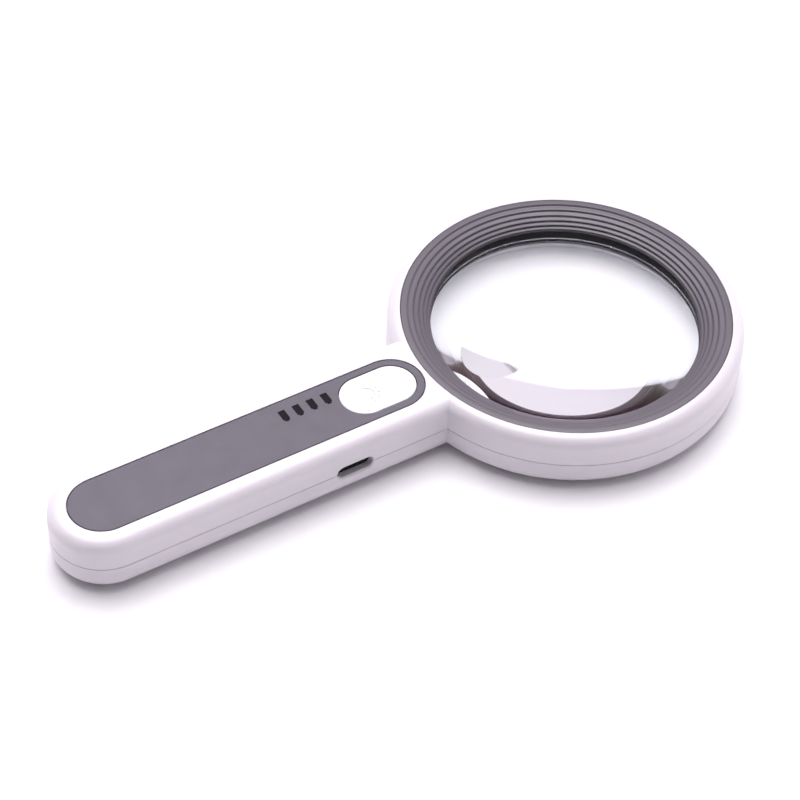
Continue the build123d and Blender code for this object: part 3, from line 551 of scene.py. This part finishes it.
def make_lens():
    """A biconvex lens with a flat rim and a small stronger lens on its upper face."""
    sag = LENS_CURVE - sphere_height(LENS_CURVE, LENS_CLEAR_RADIUS)
    edge_low = lens_low.z + sag
    edge_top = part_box("lens_retainer")[0].z
    upper_z = edge_top + sag - LENS_CURVE
    lower_z = edge_low - sag + LENS_CURVE

    # The small lens meets the main face in a circle, which lies in a tilted plane
    normal = Vector((SMALL_LENS_X, 0, sphere_height(LENS_CURVE, SMALL_LENS_X))).normalized()
    side = Vector((0, 1, 0))
    along = side.cross(normal)
    circle_centre = Vector((0, 0, upper_z)) + normal * sphere_height(LENS_CURVE, SMALL_LENS_RADIUS)
    small_centre = circle_centre - normal * sphere_height(SMALL_LENS_CURVE, SMALL_LENS_RADIUS)

    # Small lens, ring by ring out to that circle
    lathe = Lathe(AXIS_X, 0, LENS_AROUND)
    crown = lathe.point(small_centre + normal * SMALL_LENS_CURVE)
    tilt_end = math.asin(SMALL_LENS_RADIUS / SMALL_LENS_CURVE)
    for step in range(1, SMALL_LENS_STEPS + 1):
        tilt = tilt_end * step / SMALL_LENS_STEPS
        middle = small_centre + normal * (SMALL_LENS_CURVE * math.cos(tilt))
        reach = SMALL_LENS_CURVE * math.sin(tilt)
        circle = [middle + (along * math.cos(a) + side * math.sin(a)) * reach for a in lathe.angles]
        lathe.ring(circle)
    small_border = len(lathe.rings) - 1

    # Main face, from that circle out to the flat rim
    for step in range(1, LENS_FACE_STEPS + 1):
        t = step / LENS_FACE_STEPS
        points = []
        for a, start in zip(lathe.angles, circle):
            x = (1 - t) * start.x + t * LENS_CLEAR_RADIUS * math.cos(a)
            y = (1 - t) * start.y + t * LENS_CLEAR_RADIUS * math.sin(a)
            points.append((x, y, upper_z + sphere_height(LENS_CURVE, math.hypot(x, y))))
        lathe.ring(points)
    upper_border = len(lathe.rings) - 1

    # Flat rim, its edges broken, and the lower face
    for radius, z in (
        (LENS_RADIUS - LENS_EDGE_BREAK, edge_top),
        (LENS_RADIUS, edge_top - LENS_EDGE_BREAK),
        (LENS_RADIUS, edge_low + LENS_EDGE_BREAK),
        (LENS_RADIUS - LENS_EDGE_BREAK, edge_low),
        (LENS_CLEAR_RADIUS, edge_low),
    ):
        lathe.circle(radius, z)
    lower_border = len(lathe.rings) - 1
    for step in range(1, LENS_FACE_STEPS):
        radius = LENS_CLEAR_RADIUS * (1 - step / LENS_FACE_STEPS)
        lathe.circle(radius, lower_z - sphere_height(LENS_CURVE, radius))
    lathe.close_at(crown, lathe.point((0, 0, lower_z - LENS_CURVE)))

    lens = mesh_object(
        "lens_blank", lathe, FINISH["lens_acrylic"], "casing", "magnifying_lens"
    )
    lens.data.materials.append(RIM_FINISH)
    for index in range(LENS_AROUND * (1 + upper_border), LENS_AROUND * (1 + lower_border)):
        lens.data.polygons[index].material_index = 1
    sharp_rings = (small_border, *range(upper_border, lower_border + 1))
    ring_of = {vertex: index for index in sharp_rings for vertex in lathe.rings[index]}
    for edge in lens.data.edges:
        a, b = edge.vertices
        if a in ring_of and ring_of[a] == ring_of.get(b):
            edge.use_edge_sharp = True


def rounded_profile(corners, steps=5):
    """Points along a polyline of (r, z, round) corners, its rounds cut as arcs."""
    points = []
    count = len(corners)
    for k, (r, z, radius) in enumerate(corners):
        corner = Vector((r, z))
        if not radius or k in (0, count - 1):
            points.append(corner)
            continue
        to_last = (Vector(corners[k - 1][:2]) - corner).normalized()
        to_next = (Vector(corners[k + 1][:2]) - corner).normalized()
        half = to_last.angle(to_next) / 2
        reach = radius / math.tan(half)
        centre = corner + (to_last + to_next).normalized() * (radius / math.sin(half))
        start = corner + to_last * reach - centre
        end = corner + to_next * reach - centre
        sweep = start.angle_signed(end)
        for step in range(steps + 1):
            points.append(centre + Matrix.Rotation(-sweep * step / steps, 2) @ start)
    return points


# The bezel in millimetres. Its rim is flat, and its ribs follow an arc down to the bore
BEZEL_OUTER_RADIUS = 46.0
BEZEL_CHAMFER = 0.3
BEZEL_FLANGE_DEPTH = 2.0
BEZEL_FLANGE_INNER_RADIUS = 43.4
BEZEL_LIP_DEPTH = 4.6
BEZEL_LIP_RADIUS = 38.6
BEZEL_BORE_RADIUS = 37.5
BEZEL_AROUND = 384
RIM_INNER_RADIUS = 43.8
RIM_BEVEL_WIDTH = 0.45
RIM_DROP = 0.42
RIB_ARC_RADIUS = 13.2
RIB_ARC_START = math.radians(16.5)
RIB_COUNT = 5
RIB_WIDTH = 1.8
RIB_WIDTH_STEP = 0.165
RIB_HEIGHT = 0.29
RIB_CREST = 0.72  # share of a rib's width
RIB_SAMPLES = 16
SHARP_ANGLE = math.radians(50)


def make_bezel():
    """The ribbed ring: a flat rim and five smooth ribs falling to the lens."""
    top = TOP / MM
    under = top - BEZEL_FLANGE_DEPTH
    lip = top - BEZEL_LIP_DEPTH
    corners = [
        (BEZEL_OUTER_RADIUS - BEZEL_CHAMFER, under, 0),
        (BEZEL_OUTER_RADIUS, under + BEZEL_CHAMFER, 0.2),
        (BEZEL_OUTER_RADIUS, top, 0.3),
        (RIM_INNER_RADIUS + RIM_BEVEL_WIDTH, top, 0.12),
        (RIM_INNER_RADIUS, top - RIM_DROP, 0.06),
    ]
    slope, width = RIB_ARC_START, RIB_WIDTH
    centre_r = RIM_INNER_RADIUS + RIB_ARC_RADIUS * math.sin(slope)
    centre_z = top - RIM_DROP - RIB_ARC_RADIUS * math.cos(slope)
    for _ in range(RIB_COUNT):
        for k in range(1, RIB_SAMPLES + 1):
            t = k / RIB_SAMPLES
            climb = t / RIB_CREST if t < RIB_CREST else (1 - t) / (1 - RIB_CREST)
            reach = RIB_ARC_RADIUS + RIB_HEIGHT * climb * climb * (3 - 2 * climb)
            angle = slope + t * width / RIB_ARC_RADIUS
            corners.append((centre_r - reach * math.sin(angle), centre_z + reach * math.cos(angle), 0))
        slope += width / RIB_ARC_RADIUS
        width -= RIB_WIDTH_STEP
    bore_top = corners.pop()[1]
    corners += [
        (BEZEL_BORE_RADIUS, bore_top, 0.15),
        (BEZEL_BORE_RADIUS, lip, 0),
        (BEZEL_LIP_RADIUS, lip, 0),
        (BEZEL_FLANGE_INNER_RADIUS, under, 0),
    ]
    lathe = Lathe(AXIS_X, 0, BEZEL_AROUND)
    for r, z in reversed(rounded_profile(corners)):
        lathe.circle(r * MM, z * MM)
    lathe.close_round()
    bezel = mesh_object("ribbed_ring", lathe, bezel_grey.material, "casing", "lens_bezel")
    bezel.data.set_sharp_from_angle(angle=SHARP_ANGLE)


DISC_THICKNESS = 0.08 * MM
DISC_CUT = 0.1 * MM  # how far the disc stops short of its sphere's full circle
DISC_AROUND = 64
DISC_STEPS = 12


def make_snap_disc():
    """The switch's thin snap disc, built as a rigid dome on the casing that does not flatten as the
    plunger goes down.
    """
    low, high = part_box("switch_dome")
    centre_x, centre_y = (low.x + high.x) / 2, (low.y + high.y) / 2
    radius, rise = (high.x - low.x) / 2, high.z - low.z
    curve = ((radius + DISC_CUT) ** 2 + rise ** 2) / (2 * rise)
    outward = range(1, DISC_STEPS + 1)
    lathe = Lathe(centre_x, centre_y, DISC_AROUND)
    for face_curve, steps in ((curve, outward), (curve - DISC_THICKNESS, reversed(outward))):
        for step in steps:
            r = radius * step / DISC_STEPS
            lathe.circle(r, low.z + max(0, rise - curve + sphere_height(face_curve, r)))
    crown = lathe.point((0, 0, high.z))
    lathe.close_at(crown, lathe.point((0, 0, high.z - DISC_THICKNESS)))
    disc = mesh_object(
        "snap_disc", lathe, FINISH["bright_steel"], "casing", "switch_dome"
    )
    disc.data.set_sharp_from_angle(angle=SHARP_ANGLE)
    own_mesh(disc)


make_lens()
make_bezel()
make_snap_disc()


# ---------------------------------------------------------------- floor

FLOOR_HALF = 3.0
FLOOR_DROP = 0.02 * MM


def make_floor():
    s = Shader("paper_white", Roughness=0.9)
    s.set("Base Color", s.ramp(s.noise(0.2, 3), (0.93, 0.93, 0.93), (0.95, 0.95, 0.95)))
    s.bump(s.noise(0.0008, 3), 0.00001, 0.3)
    corners = [(x * FLOOR_HALF, y * FLOOR_HALF, 0) for x, y in ((-1, -1), (1, -1), (1, 1), (-1, 1))]
    mesh = bpy.data.meshes.new("floor")
    mesh.from_pydata(corners, [], [(0, 1, 2, 3)])
    floor = bpy.data.objects.new("floor", mesh)
    floor.location.z = -FLOOR_DROP
    bpy.context.scene.collection.objects.link(floor)
    give(floor, s.material)


make_floor()

# Enough bounces for light that is reflected several times inside the lens
scene = bpy.context.scene
scene.view_settings.view_transform = "Standard"
scene.cycles.max_bounces = 16
scene.cycles.glossy_bounces = 10
scene.cycles.transmission_bounces = 14
